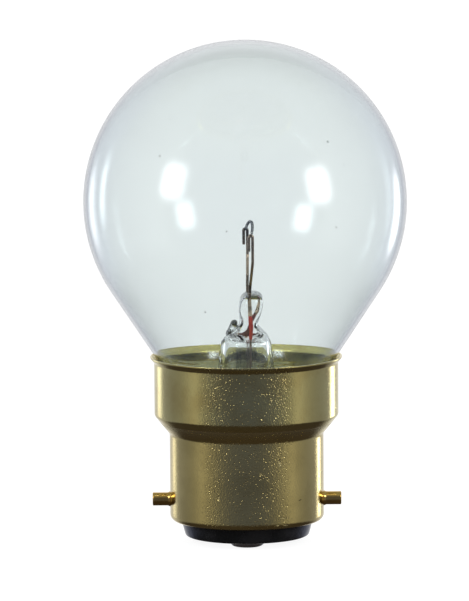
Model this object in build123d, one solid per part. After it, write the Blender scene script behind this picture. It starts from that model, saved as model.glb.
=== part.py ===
from build123d import *
import os
from math import cos, pi, radians, sin, sqrt, tan

# Clear pear-shaped filament lamp with a two-contact bayonet cap, in millimetres.
# It stands on its two solder contacts at z = 0 with the globe on top.
# The bayonet pins lie along X. The two leads stand one behind the other along Y.

# Brass cap shell, drawn from sheet
sheet_thickness = 0.3
barrel_diameter = 22.0
skirt_diameter = 26.3
lip_flare = 0.55
shell_height = 23.8
skirt_height = 8.4
step_height = 2.8
step_round = 0.8
foot_round = 1.0
foot_flat = 0.3
lip_height = 1.2
lip_band = 0.55
lip_round = 0.45

# Bayonet pins
pin_diameter = 1.9
pin_reach = 2.5
pin_height = 3.2
pin_head_diameter = 2.9
pin_head_thickness = 0.6
pin_collar_diameter = 2.6
pin_collar_length = 0.55
pin_end_chamfer = 0.15

# Black glass insulator in the foot of the shell
insulator_drop = 2.05
insulator_face_diameter = 17.6
insulator_edge_round = 0.5
insulator_taper = 0.6
insulator_top_gap = 0.15

# Contact plates and the solder on them
contact_spacing = 9.4
plate_length = 6.4
plate_width = 4.8
plate_thickness = 0.5
plate_proud = 0.2
plate_hole_diameter = 1.0
solder_diameter = 4.4
solder_height = 0.65
solder_flat_diameter = 2.8
solder_cover = 0.3

# Blown glass bulb
globe_diameter = 46.1
glass_wall = 0.6
cone_angle = 33.5
neck_round = 6.0
lip_gap = 0.4
neck_depth = 7.9

# Capping cement between the neck and the skirt
cement_thickness = 1.25
cement_depth = 2.8
cement_height = 4.4

# Glass stem: a flared tube whose top is pressed flat round the wires
stem_tube_diameter = 7.0
stem_tube_taper = 0.5
stem_wall = 0.75
flare_round = 4.5
flare_drop = 1.2
stem_shoulder_height = 2.2
press_top_height = 9.3
press_waist_height = 5.6
press_width = 8.0
press_waist_thickness = 2.8
press_bead_thickness = 3.3
press_top_round = 1.2
press_lean = 0.95
stem_dome_height = 1.4

# Pumping vent blown through the side of the stem
vent_height = 4.45
vent_slope = 24.0
vent_bore = 1.0
vent_rim_diameter = 2.2
vent_reach = 2.5

# Exhaust tube, sealed off at its lower end
exhaust_diameter = 3.0
exhaust_wall = 0.55
exhaust_tip_height = 8.6
exhaust_tip_length = 3.0
exhaust_nib_diameter = 0.9

# Lead wires: a stiff inner length, a red seal wire and a thin outer length
inner_lead_diameter = 0.42
seal_wire_diameter = 0.4
outer_lead_diameter = 0.3
seal_low_height = 2.6
seal_high_height = 6.2
lead_spacing_in_press = 4.6
lead_spacing_at_hooks = 8.4
front_lead_x = 0.6
rear_lead_x = 0.25
front_hook_x = 1.02
rear_hook_x = 0.3
hook_top_height = 17.95
hook_tail_length = 2.0
lead_straight_in_press = 0.9
lead_upright_at_hook = 3.6
lead_bend_round = 2.0
outer_lead_spread_top = 20.0
outer_lead_spread_foot = 9.0
outer_lead_bend_round = 5.0

# Coiled tungsten filament, arched between the two hooks
filament_wire_diameter = 0.09
filament_coil_diameter = 0.34
filament_turns = 34
filament_rise = 1.75
filament_bow = 0.42
filament_leg = 0.4
points_per_turn = 8

# Radii and heights that follow from the sizes above
barrel_r = barrel_diameter / 2
barrel_bore_r = barrel_r - sheet_thickness
mouth_r = barrel_r - foot_round - foot_flat
skirt_r = skirt_diameter / 2
lip_r = skirt_r + lip_flare
plate_face_z = solder_height
insulator_face_z = plate_face_z + plate_proud
foot_z = insulator_face_z + insulator_drop
lip_z = foot_z + shell_height
step_top_z = lip_z - skirt_height
step_foot_z = step_top_z - step_height
pin_z = foot_z + pin_height
insulator_top_z = pin_z - pin_head_diameter / 2 - insulator_top_gap
globe_r = globe_diameter / 2
neck_r = skirt_r - sheet_thickness - cement_thickness
neck_bore_r = neck_r - glass_wall
neck_end_z = lip_z - neck_depth
stem_tube_r = stem_tube_diameter / 2
shoulder_z = lip_z + stem_shoulder_height
press_top_z = lip_z + press_top_height
seal_low_z = lip_z + seal_low_height
seal_high_z = lip_z + seal_high_height
hook_top_z = lip_z + hook_top_height
hook_bend_r = (inner_lead_diameter + filament_wire_diameter) / 2
sides = {"front": -1, "rear": 1}


def turned(outline):
    """Solid turned about Z from a closed outline drawn as radius and height."""
    return revolve(Plane.XZ * make_face(outline), Axis.Z)


def rod(diameter, low, high, x=0.0, y=0.0):
    """Round bar along Z between two heights."""
    return Pos(x, y, (low + high) / 2) * Cylinder(diameter / 2, high - low)


def wire_along(path, diameter):
    """Round wire that follows a path."""
    start = Plane(origin=path @ 0, z_dir=path % 0)
    return sweep(start * Circle(diameter / 2), path=path)


def shell_path():
    """Outside line of the cap, from its foot up to its lip."""
    corners = [
        (mouth_r, foot_z),
        (barrel_r, foot_z),
        (barrel_r, step_foot_z),
        (skirt_r, step_top_z),
        (skirt_r, lip_z - lip_height),
        (lip_r, lip_z - lip_band),
        (lip_r, lip_z),
    ]
    rounds = [foot_round, step_round, step_round, lip_round, lip_round]
    return FilletPolyline(*corners, radius=rounds)


def make_cap_shell():
    """Drawn brass shell with its rolled foot, step, flared lip and two pin holes."""
    wall = offset(shell_path(), amount=sheet_thickness, side=Side.LEFT, closed=True)
    shell = turned(wall)
    holes = Rot(0, 90, 0) * Cylinder(pin_diameter / 2, 2 * skirt_diameter)
    return shell - Pos(0, 0, pin_z) * holes


def make_pin(side):
    """Bayonet pin with its inner head and swaged outer collar, for side -1 or 1."""
    tip = barrel_r + pin_reach
    seat = barrel_bore_r
    shank_r = pin_diameter / 2
    head_back = seat - pin_head_thickness
    shank = Pos(0, 0, (head_back + tip) / 2) * Cylinder(shank_r, tip - head_back)
    shank = chamfer(shank.edges().sort_by(Axis.Z)[-1], pin_end_chamfer)
    head = Pos(0, 0, (head_back + seat) / 2) * Cylinder(pin_head_diameter / 2, seat - head_back)
    head = Rot(0, 90, 0) * head & Cylinder(barrel_bore_r, pin_head_diameter * 2)
    collar_base = sqrt(barrel_r**2 - (pin_collar_diameter / 2) ** 2)
    collar_end = barrel_r + pin_collar_length
    cone = Cone(pin_collar_diameter / 2, shank_r, collar_end - collar_base)
    collar = Rot(0, 90, 0) * Pos(0, 0, (collar_base + collar_end) / 2) * cone
    collar = collar - Cylinder(barrel_r, pin_collar_diameter * 2)
    pin = Rot(0, 90, 0) * shank + head + collar
    turn = 0 if side > 0 else 180
    return Pos(0, 0, pin_z) * Rot(0, 0, turn) * pin


def make_plate(y):
    """Rounded contact plate with the hole that its lead comes through."""
    blank = SlotOverall(plate_length, plate_width)
    plate = extrude(blank - Circle(plate_hole_diameter / 2), plate_thickness)
    return Pos(0, y, plate_face_z) * plate


def make_solder(y):
    """Solder bead on a contact plate, worn flat where the lampholder presses on it."""
    base_r = solder_diameter / 2
    flat_r = solder_flat_diameter / 2
    plug_r = plate_hole_diameter / 2
    outline = [
        Line((0, 0), (flat_r, 0)),
        TangentArc((flat_r, 0), (base_r, solder_height), tangent=(1, 0)),
        Polyline(
            (base_r, solder_height),
            (plug_r, solder_height),
            (plug_r, solder_height + plate_thickness),
            (0, solder_height + plate_thickness),
            (0, 0),
        ),
    ]
    wire_hole = rod(outer_lead_diameter, solder_cover, insulator_top_z)
    return Pos(0, y, 0) * (turned(outline) - wire_hole)


def make_insulator(shell, plates):
    """Black glass poured into the foot of the shell, round the plates and the leads."""
    face_r = insulator_face_diameter / 2
    shoulder_r = face_r + insulator_taper
    blank = Polyline(
        (0, insulator_face_z),
        (face_r, insulator_face_z),
        (shoulder_r, foot_z),
        (mouth_r, foot_z),
        (mouth_r, foot_z + sheet_thickness),
        (barrel_bore_r, foot_z + sheet_thickness),
        (barrel_bore_r, insulator_top_z),
        (0, insulator_top_z),
        (0, insulator_face_z),
    )
    body = turned(blank)
    edge = body.edges().filter_by(GeomType.CIRCLE).group_by(Axis.Z)[0]
    body = fillet(edge, insulator_edge_round) - shell
    for plate in plates:
        body -= plate
    for sign in sides.values():
        y = sign * contact_spacing / 2
        body -= rod(outer_lead_diameter, 0, lip_z, 0, y)
        body -= rod(plate_hole_diameter, 0, plate_face_z + plate_thickness, 0, y)
    return body.solids().sort_by(SortBy.VOLUME)[-1]


def globe_centre_z():
    """Height at which the cone of the bulb clears the lip of the cap by lip_gap."""
    angle = radians(cone_angle)
    seat_r = lip_r - sheet_thickness - lip_gap
    return lip_z + globe_r * sin(angle) + (globe_r * cos(angle) - seat_r) / tan(angle)


def bulb_path():
    """Outside line of the bulb: round top, straight cone and neck."""
    angle = radians(cone_angle)
    centre_z = globe_centre_z()
    leave = (globe_r * cos(angle), centre_z - globe_r * sin(angle))
    corner_z = leave[1] - (leave[0] - neck_r) / tan(angle)
    crown = CenterArc((0, centre_z), globe_r, 90, -(90 + cone_angle))
    flank = FilletPolyline(leave, (neck_r, corner_z), (neck_r, neck_end_z), radius=neck_round)
    return Wire(crown.edges() + flank.edges())


def make_bulb():
    """Thin blown bulb, open at the end of its neck."""
    return turned(offset(bulb_path(), amount=glass_wall, side=Side.RIGHT, closed=True))


def make_cement(bulb, shell):
    """Ring of capping cement that holds the neck in the skirt."""
    top = lip_z - cement_depth
    mid_sheet_diameter = skirt_diameter - sheet_thickness
    ring = rod(mid_sheet_diameter, top - cement_height, top) - rod(2 * neck_bore_r, 0, lip_z)
    ring = ring - bulb - shell
    return ring.solids().sort_by(SortBy.VOLUME)[-1]


def flare_path():
    """Outside line of the stem's tube, from its shoulder down and out to the neck."""
    foot_r = stem_tube_r + stem_tube_taper
    return FilletPolyline(
        (stem_tube_r, shoulder_z),
        (foot_r, neck_end_z + stem_wall + flare_drop),
        (neck_bore_r + stem_wall, neck_end_z + stem_wall),
        radius=flare_round,
    )


def press_section(height, thickness, width, trim=0.0):
    """Oval slice of the pressed part, shifted as the press leans, less an edge trim."""
    climb = (height - stem_shoulder_height) / (press_top_height - stem_shoulder_height)
    oval = Ellipse(thickness / 2 - trim, width / 2 - trim)
    return Pos(press_lean * climb, 0, lip_z + height) * oval


def make_press():
    """Solid glass above the tube: shoulder, narrow waist and a thicker bead, round on top."""
    low = stem_shoulder_height
    rise = press_waist_height - low
    bead = press_bead_thickness
    shoulder = [
        press_section(low, stem_tube_diameter, stem_tube_diameter),
        press_section(low + rise * 0.38, stem_tube_diameter * 0.79, press_width * 0.94),
        press_section(low + rise * 0.72, press_waist_thickness * 1.3, press_width * 0.98),
        press_section(press_waist_height, press_waist_thickness, press_width),
    ]
    crown_foot = press_top_height - press_top_round
    crown = []
    for angle in (0, 35, 60, 80):
        height = crown_foot + press_top_round * sin(radians(angle))
        trim = press_top_round * (1 - cos(radians(angle)))
        crown.append(press_section(height, bead, press_width * 0.96, trim))
    return loft(shoulder + crown)


def vent_place():
    """Frame at the mouth of the vent, its Z axis pointing out of the hole."""
    slope = radians(vent_slope)
    outward = (-cos(slope), 0, sin(slope))
    return Plane(origin=(-vent_reach, 0, lip_z + vent_height), z_dir=outward)


def make_vent_rim():
    """Raised ring of glass where the vent was blown open."""
    rim_r = vent_rim_diameter / 2
    ring_r = (rim_r - vent_bore / 2) / 2
    ring = Pos(0, 0, -ring_r) * Torus(rim_r - ring_r, ring_r)
    collar = Pos(0, 0, -rim_r) * Cylinder(rim_r - ring_r, 2 * (rim_r - ring_r))
    return vent_place() * (ring + collar)


def lead_place(side):
    """Place in the press of the front or rear lead."""
    x = front_lead_x if side == "front" else rear_lead_x
    return x, sides[side] * lead_spacing_in_press / 2


def stem_outside():
    """Solid form of the flare and tube, as if they had no bore."""
    path = flare_path()
    rim = path @ 1
    close = Polyline(rim, (rim.X, neck_end_z), (0, neck_end_z), (0, shoulder_z), path @ 0)
    return turned([*path.edges(), *close.edges()]) & rod(2 * neck_bore_r, neck_end_z, shoulder_z)


def stem_cavity():
    """Space inside the flare and tube, with its domed top."""
    path = offset(flare_path(), amount=stem_wall, side=Side.RIGHT, closed=False)
    rim = path @ 1
    floor_z = neck_end_z - stem_wall
    top = (0, shoulder_z + stem_dome_height)
    dome = TangentArc(top, path @ 0, tangent=(1, 0))
    close = Polyline(rim, (rim.X, floor_z), (0, floor_z), top)
    return turned([dome, *path.edges(), *close.edges()])


def make_stem():
    """Flared tube and press in one piece, with its vent and its wire holes."""
    body = stem_outside() + make_press() + make_vent_rim() - stem_cavity()
    bore = Pos(0, 0, -2 * vent_reach) * Cylinder(vent_bore / 2, 4 * vent_reach)
    body -= vent_place() * bore - Pos(globe_r, 0, shoulder_z) * Box(2 * globe_r, globe_r, globe_r)
    for side in sides:
        x, y = lead_place(side)
        body -= rod(seal_wire_diameter, shoulder_z, seal_high_z, x, y)
        body -= rod(inner_lead_diameter, seal_high_z, hook_top_z, x, y)
    return body


def make_exhaust_tube(stem):
    """Tube up the middle of the stem, drawn to a sealed point at its foot."""
    r = exhaust_diameter / 2
    bore_r = r - exhaust_wall
    nib_r = exhaust_nib_diameter / 2
    tip_z = exhaust_tip_height
    taper_z = tip_z + exhaust_tip_length
    top_z = shoulder_z + stem_dome_height
    outside = Polyline((r, top_z), (r, taper_z), (nib_r, tip_z + nib_r))
    nose = RadiusArc((nib_r, tip_z + nib_r), (0, tip_z), nib_r)
    floor_z = tip_z + 2 * exhaust_nib_diameter
    inside = Polyline((0, tip_z), (0, floor_z), (bore_r, taper_z), (bore_r, top_z), (r, top_z))
    return turned([*outside.edges(), nose, *inside.edges()]) - stem


def inner_lead_path(side):
    """Line of an inner lead: up out of the press, apart, upright and over into its hook."""
    x, y = lead_place(side)
    hook_x = front_hook_x if side == "front" else rear_hook_x
    hook_y = sides[side] * lead_spacing_at_hooks / 2
    bend_z = hook_top_z - hook_bend_r - inner_lead_diameter / 2
    shank = FilletPolyline(
        (x, y, seal_high_z),
        (x, y, press_top_z + lead_straight_in_press),
        (hook_x, hook_y, bend_z - lead_upright_at_hook),
        (hook_x, hook_y, bend_z),
        radius=lead_bend_round,
    )
    crest = (hook_x - hook_bend_r, hook_y, bend_z + hook_bend_r)
    over = (hook_x - 2 * hook_bend_r, hook_y, bend_z)
    bend = ThreePointArc((hook_x, hook_y, bend_z), crest, over)
    tail = Line(over, (over[0], hook_y, bend_z - hook_tail_length))
    return Wire([*shank.edges(), bend, tail])


def outer_lead_path(side):
    """Line of an outer lead, from the seal wire down to its solder bead."""
    x, y = lead_place(side)
    foot_y = sides[side] * contact_spacing / 2
    return FilletPolyline(
        (x, y, seal_low_z),
        (x, y, outer_lead_spread_top),
        (0, foot_y, outer_lead_spread_foot),
        (0, foot_y, solder_cover),
        radius=outer_lead_bend_round,
    )


def hook_eye(side):
    """Point in the middle of a hook's bend, where the filament leg is gripped."""
    hook_x = front_hook_x if side == "front" else rear_hook_x
    z = hook_top_z - hook_bend_r - inner_lead_diameter / 2
    return Vector(hook_x - hook_bend_r, sides[side] * lead_spacing_at_hooks / 2, z)


def filament_axis(share):
    """Point on the arched axis of the coil, at a share of the way from front to rear."""
    front = hook_eye("front")
    rear = hook_eye("rear")
    arch = sin(pi * share)
    bow = filament_bow * arch * (1 - share) * 2
    return front + (rear - front) * share + Vector(bow, 0, filament_rise * arch)


def make_filament():
    """Coil wound along the arch, with a straight leg through each hook."""
    coil_r = (filament_coil_diameter - filament_wire_diameter) / 2
    leg_share = filament_leg / lead_spacing_at_hooks
    count = filament_turns * points_per_turn
    points = [hook_eye("front") - Vector(0, filament_leg, 0)]
    for i in range(count + 1):
        share = leg_share + (1 - 2 * leg_share) * i / count
        ahead = (filament_axis(share + 0.001) - filament_axis(share - 0.001)).normalized()
        up = ahead.cross(Vector(1, 0, 0)).normalized()
        across = up.cross(ahead)
        turn = 2 * pi * i / points_per_turn
        ramp = min(1.0, i / points_per_turn, (count - i) / points_per_turn)
        points.append(filament_axis(share) + (across * cos(turn) + up * sin(turn)) * coil_r * ramp)
    points.append(hook_eye("rear") + Vector(0, filament_leg, 0))
    return wire_along(Spline(*points), filament_wire_diameter)


def make_parts():
    """Every piece of the lamp by name."""
    shell = make_cap_shell()
    bulb = make_bulb()
    stem = make_stem()
    parts = {
        "cap_shell": shell,
        "bayonet_pin_left": make_pin(-1),
        "bayonet_pin_right": make_pin(1),
        "glass_bulb": bulb,
        "capping_cement": make_cement(bulb, shell),
        "glass_stem": stem,
        "exhaust_tube": make_exhaust_tube(stem),
        "filament": make_filament(),
    }
    plates = []
    for side, sign in sides.items():
        y = sign * contact_spacing / 2
        plates.append(make_plate(y))
        x, wire_y = lead_place(side)
        parts["contact_plate_" + side] = plates[-1]
        parts["solder_bead_" + side] = make_solder(y)
        parts["inner_lead_" + side] = wire_along(inner_lead_path(side), inner_lead_diameter)
        parts["seal_wire_" + side] = rod(seal_wire_diameter, seal_low_z, seal_high_z, x, wire_y)
        parts["outer_lead_" + side] = wire_along(outer_lead_path(side), outer_lead_diameter)
    parts["insulator"] = make_insulator(shell, plates)
    return parts


os.makedirs("parts", exist_ok=True)
for name, shape in make_parts().items():
    export_step(shape, f"parts/{name}.step")
    print(name, round(shape.volume, 2))
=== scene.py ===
from math import asin, ceil, copysign, cos, degrees, pi, radians, sin, sqrt, tan

import bmesh
import bpy
from mathutils import Matrix, Vector, noise


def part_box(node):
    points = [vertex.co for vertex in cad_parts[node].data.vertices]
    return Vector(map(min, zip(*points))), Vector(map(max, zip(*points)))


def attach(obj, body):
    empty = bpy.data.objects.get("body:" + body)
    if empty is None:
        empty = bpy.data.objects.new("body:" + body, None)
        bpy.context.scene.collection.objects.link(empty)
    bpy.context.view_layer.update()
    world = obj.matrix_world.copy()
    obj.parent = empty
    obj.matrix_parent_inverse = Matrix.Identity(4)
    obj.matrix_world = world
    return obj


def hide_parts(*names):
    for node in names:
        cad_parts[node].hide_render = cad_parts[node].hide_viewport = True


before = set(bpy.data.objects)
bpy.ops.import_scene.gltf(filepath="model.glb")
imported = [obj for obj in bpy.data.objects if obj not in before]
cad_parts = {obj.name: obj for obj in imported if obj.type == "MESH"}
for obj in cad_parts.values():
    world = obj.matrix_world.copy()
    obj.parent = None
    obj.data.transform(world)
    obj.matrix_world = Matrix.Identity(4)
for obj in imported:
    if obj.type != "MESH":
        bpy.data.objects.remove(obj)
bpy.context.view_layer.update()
mm = 0.001
weldDistance = 0.001 * mm
print("frame loaded:", len(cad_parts), "nodes")

# heights that several pieces share, read from the frame, in millimetres
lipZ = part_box("cap_shell")[1].z / mm
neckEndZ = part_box("glass_bulb")[0].z / mm
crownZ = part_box("glass_bulb")[1].z / mm


# a line through its corners, each inner corner rounded by its radius
def roundedLine(corners, radii, stepAngle=7.0):
    points = [Vector(corners[0])]
    for before, corner, after, radius in zip(corners, corners[1:], corners[2:], radii):
        corner = Vector(corner)
        if radius == 0:
            points.append(corner)
            continue
        back = (Vector(before) - corner).normalized()
        ahead = (Vector(after) - corner).normalized()
        opening = back.angle(ahead)
        turn = pi - opening
        reach = radius / tan(opening / 2)
        centre = corner + (back + ahead).normalized() * radius / sin(opening / 2)
        start = corner + back * reach - centre
        end = corner + ahead * reach - centre
        steps = max(2, round(degrees(turn) / stepAngle))
        for step in range(steps + 1):
            share = step / steps
            points.append(centre + (start * sin((1 - share) * turn) + end * sin(share * turn)) / sin(turn))
    points.append(Vector(corners[-1]))
    return points


# the same for a closed outline, where every corner has its radius
def roundedLoop(corners, radii, stepAngle=7.0):
    return roundedLine([corners[-1], *corners, corners[0]], radii, stepAngle)[1:-1]


def arcLine(centre, radius, fromAngle, toAngle, stepAngle=2.0):
    steps = max(2, round(abs(toAngle - fromAngle) / stepAngle))
    angles = [radians(fromAngle + (toAngle - fromAngle) * step / steps) for step in range(steps + 1)]
    return [Vector((centre[0] + radius * cos(a), centre[1] + radius * sin(a))) for a in angles]


# splits the long stretches of a line, so that smooth shading keeps them straight
def refined(points, longest=0.8):
    made = [Vector(points[0])]
    for end in points[1:]:
        start, end = made[-1], Vector(end)
        count = max(1, ceil((end - start).length / longest))
        made += [start.lerp(end, step / count) for step in range(1, count + 1)]
    return made


# turns a mesh in the making into a piece of the lamp, with its edges sharp where they turn steeply
def asPiece(name, form, material, nodes, sharpAngle=34):
    bmesh.ops.remove_doubles(form, verts=form.verts, dist=weldDistance)
    bmesh.ops.recalc_face_normals(form, faces=form.faces)
    for face in form.faces:
        face.smooth = True
    for edge in form.edges:
        edge.smooth = edge.calc_face_angle(0) < radians(sharpAngle)
    mesh = bpy.data.meshes.new(name)
    form.to_mesh(mesh)
    form.free()
    mesh.materials.append(material)
    piece = bpy.data.objects.new(name, mesh)
    bpy.context.scene.collection.objects.link(piece)
    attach(piece, "root")
    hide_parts(*nodes)
    return piece


# spins an outline of radius and height round the Z axis, given in millimetres
def spun(outline, steps, closed):
    form = bmesh.new()
    outline = refined(outline)
    ring = [form.verts.new((max(radius, 0) * mm, 0, height * mm)) for radius, height in outline]
    pairs = list(zip(ring, ring[1:]))
    if closed:
        pairs.append((ring[-1], ring[0]))
    edges = [form.edges.new(pair) for pair in pairs]
    bmesh.ops.spin(
        form, geom=ring + edges, cent=(0, 0, 0), axis=(0, 0, 1), dvec=(0, 0, 0),
        angle=2 * pi, steps=steps, use_merge=True, use_duplicate=False,
    )
    return form


# a round wire along points, with closed ends
def wireForm(points, thickness, roundness=5):
    curve = bpy.data.curves.new("wireLine", "CURVE")
    curve.dimensions = "3D"
    line = curve.splines.new("POLY")
    line.points.add(len(points) - 1)
    for point, place in zip(line.points, points):
        point.co = (*(Vector(place) * mm), 1)
    curve.bevel_depth = thickness / 2 * mm
    curve.bevel_resolution = roundness
    curve.use_fill_caps = True
    holder = bpy.data.objects.new("wireLine", curve)
    mesh = bpy.data.meshes.new_from_object(holder)
    form = bmesh.new()
    form.from_mesh(mesh)
    bpy.data.objects.remove(holder)
    bpy.data.curves.remove(curve)
    bpy.data.meshes.remove(mesh)
    return form


# short ways of writing shader nodes
def addNode(tree, kind, settings=(), **inputs):
    made = tree.nodes.new("ShaderNode" + kind)
    for key, value in dict(settings).items():
        setattr(made, key, value)
    for key, value in inputs.items():
        plug(tree, made.inputs[key.replace("_", " ")], value)
    return made


def plug(tree, socket, value):
    if isinstance(value, bpy.types.NodeSocket):
        tree.links.new(value, socket)
    else:
        socket.default_value = value


def maths(tree, operation, first, second=0.0, third=0.0, clamp=False):
    made = tree.nodes.new("ShaderNodeMath")
    made.operation = operation
    made.use_clamp = clamp
    for socket, value in zip(made.inputs, (first, second, third)):
        plug(tree, socket, value)
    return made.outputs[0]


# sockets 0, 6 and 7 of a colour mix are its share and its two colours, and output 2 is the result
def blendColour(tree, share, first, second):
    made = tree.nodes.new("ShaderNodeMix")
    made.data_type = "RGBA"
    plug(tree, made.inputs[0], share)
    plug(tree, made.inputs[6], first)
    plug(tree, made.inputs[7], second)
    return made.outputs[2]


def rangeOf(tree, value, low, high, toLow=0.0, toHigh=1.0, smooth=False):
    made = tree.nodes.new("ShaderNodeMapRange")
    made.interpolation_type = "SMOOTHSTEP" if smooth else "LINEAR"
    for socket, given in zip(made.inputs, (value, low, high, toLow, toHigh)):
        plug(tree, socket, given)
    return made.outputs[0]


# from 0 at the first edge to 1 at the second, with both in millimetres
def bandOf(tree, value, edges, smooth=True):
    return rangeOf(tree, value, edges[0] * mm, edges[1] * mm, smooth=smooth)


def lengthOf(tree, vector):
    made = addNode(tree, "VectorMath", {"operation": "LENGTH"})
    tree.links.new(vector, made.inputs[0])
    return made.outputs["Value"]


def newMaterial(name):
    material = bpy.data.materials.new(name)
    material.use_nodes = True
    material.node_tree.nodes.clear()
    return material, material.node_tree


def placeOn(tree, stretch=(1, 1, 1)):
    coords = tree.nodes.new("ShaderNodeTexCoord")
    return addNode(tree, "Mapping", Vector=coords.outputs["Object"], Scale=stretch).outputs[0]


# either shader by a share, or both of them added where there is none
def joinShaders(tree, first, second, share=None):
    made = addNode(tree, "AddShader" if share is None else "MixShader")
    if share is not None:
        tree.links.new(share, made.inputs[0])
    for socket, shader in zip(list(made.inputs)[-2:], (first, second)):
        tree.links.new(shader.outputs[0], socket)
    return made


def plainOutput(tree, shader):
    out = tree.nodes.new("ShaderNodeOutputMaterial")
    tree.links.new(shader.outputs[0], out.inputs[0])


# glass lets lamp light through to what it holds, so its shader turns clear for shadow rays
def glassOutput(tree, glass, shadowTint):
    path = tree.nodes.new("ShaderNodeLightPath")
    clear = addNode(tree, "BsdfTransparent", Color=(*shadowTint, 1))
    plainOutput(tree, joinShaders(tree, glass, clear, path.outputs["Is Shadow Ray"]))


# wide patches, fine unevenness and small pits, which several finishes share
grain = {
    "inputs": {"Place": "Vector", "Coarse": "Float", "Fine": "Float"},
    "outputs": {"Patches": "Float", "Pits": "Float", "Height": "Float"},
    "wide": {"Detail": 4.0, "Roughness": 0.6},
    "small": {"Detail": 3.0, "Roughness": 0.55},
    "cellShare": 0.6,
    "patchEdges": (0.38, 0.66),
    "pitEdges": (0.30, 0.05),
    "pitDepth": -0.35,
}


def makeGrainGroup():
    group = bpy.data.node_groups.new("grain", "ShaderNodeTree")
    for name, kind in grain["inputs"].items():
        group.interface.new_socket(name, in_out="INPUT", socket_type="NodeSocket" + kind)
    for name, kind in grain["outputs"].items():
        group.interface.new_socket(name, in_out="OUTPUT", socket_type="NodeSocket" + kind)
    given = group.nodes.new("NodeGroupInput")
    result = group.nodes.new("NodeGroupOutput")
    place, coarse, fine = given.outputs[0], given.outputs[1], given.outputs[2]
    cellScale = maths(group, "MULTIPLY", fine, grain["cellShare"])
    wide = addNode(group, "TexNoise", Vector=place, Scale=coarse, **grain["wide"]).outputs[0]
    small = addNode(group, "TexNoise", Vector=place, Scale=fine, **grain["small"]).outputs[0]
    cells = addNode(group, "TexVoronoi", Vector=place, Scale=cellScale).outputs[0]
    patches = rangeOf(group, wide, *grain["patchEdges"], smooth=True)
    pits = rangeOf(group, cells, *grain["pitEdges"], smooth=True)
    height = maths(group, "MULTIPLY_ADD", pits, grain["pitDepth"], small)
    for socket, value in zip(result.inputs, (patches, pits, height)):
        group.links.new(value, socket)
    return group


grainGroup = makeGrainGroup()


def useGrain(tree, place, coarse, fine):
    made = addNode(tree, "Group", {"node_tree": grainGroup}, Place=place, Coarse=coarse, Fine=fine)
    return [made.outputs[name] for name in grain["outputs"]]


# clear glass of the globe, faintly blue-green, with dust on it
globeGlass = {
    # the tint is darker than clear glass: painted shade that dims the bright floor and studio seen through
    # the bulb
    "tint": (0.868, 0.908, 0.906),
    "dust": (0.30, 0.33, 0.32),
    "ior": 1.5,
    "dustScale": 210.0,
    "dustEdges": (0.055, 0.033),
    "rareScale": 70.0,
    "rareEdges": (0.60, 0.64),
    "waveStretch": (1, 1, 0.35),
    "waveScale": 38.0,
    "waveBump": 0.02,
}


def makeGlobeGlass():
    look = globeGlass
    material, tree = newMaterial("globeGlass")
    place = placeOn(tree)
    specks = addNode(tree, "TexVoronoi", Vector=place, Scale=look["dustScale"]).outputs[0]
    rare = addNode(tree, "TexNoise", Vector=place, Scale=look["rareScale"], Detail=1.0).outputs[0]
    speckShown = rangeOf(tree, specks, *look["dustEdges"])
    dusty = maths(tree, "MULTIPLY", speckShown, rangeOf(tree, rare, *look["rareEdges"]))
    along = placeOn(tree, look["waveStretch"])
    waves = addNode(tree, "TexNoise", Vector=along, Scale=look["waveScale"], Detail=2.0)
    bump = addNode(tree, "Bump", Strength=look["waveBump"], Distance=mm, Height=waves.outputs[0])
    glass = addNode(
        tree, "BsdfPrincipled",
        Base_Color=blendColour(tree, dusty, (*look["tint"], 1), (*look["dust"], 1)),
        Roughness=0.0,
        IOR=look["ior"],
        Transmission_Weight=1.0,
        Normal=bump.outputs[0],
    )
    glassOutput(tree, glass, look["tint"])
    return material


# denser glass of the stem and the exhaust tube, streaked where it was drawn and pressed
stemGlass = {
    "tint": (0.955, 0.970, 0.965),
    "ior": 1.56,
    "rough": 0.02,
    "streakStretch": (1, 1, 0.16),
    "streakScale": 420.0,
    "streakDetail": 2.5,
    "streakDepth": 0.25,
    "streakBump": 0.22,
    "alpha": 1.0,
}


def makeStemGlass(name, look):
    material, tree = newMaterial(name)
    along = placeOn(tree, look["streakStretch"])
    streaks = addNode(
        tree, "TexNoise", Vector=along, Scale=look["streakScale"], Detail=look["streakDetail"],
    ).outputs[0]
    depth = look["streakDepth"] * mm
    bump = addNode(tree, "Bump", Strength=look["streakBump"], Distance=depth, Height=streaks)
    glass = addNode(
        tree, "BsdfPrincipled",
        Base_Color=(*look["tint"], 1),
        Roughness=look["rough"],
        IOR=look["ior"],
        Alpha=look["alpha"],
        Transmission_Weight=1.0,
        Normal=bump.outputs[0],
    )
    glassOutput(tree, glass, look["tint"])
    return material


exhaustGlass = {**stemGlass, "ior": 1.4, "tint": (0.97, 0.98, 0.97), "streakBump": 0.05, "alpha": 0.22}

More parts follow.
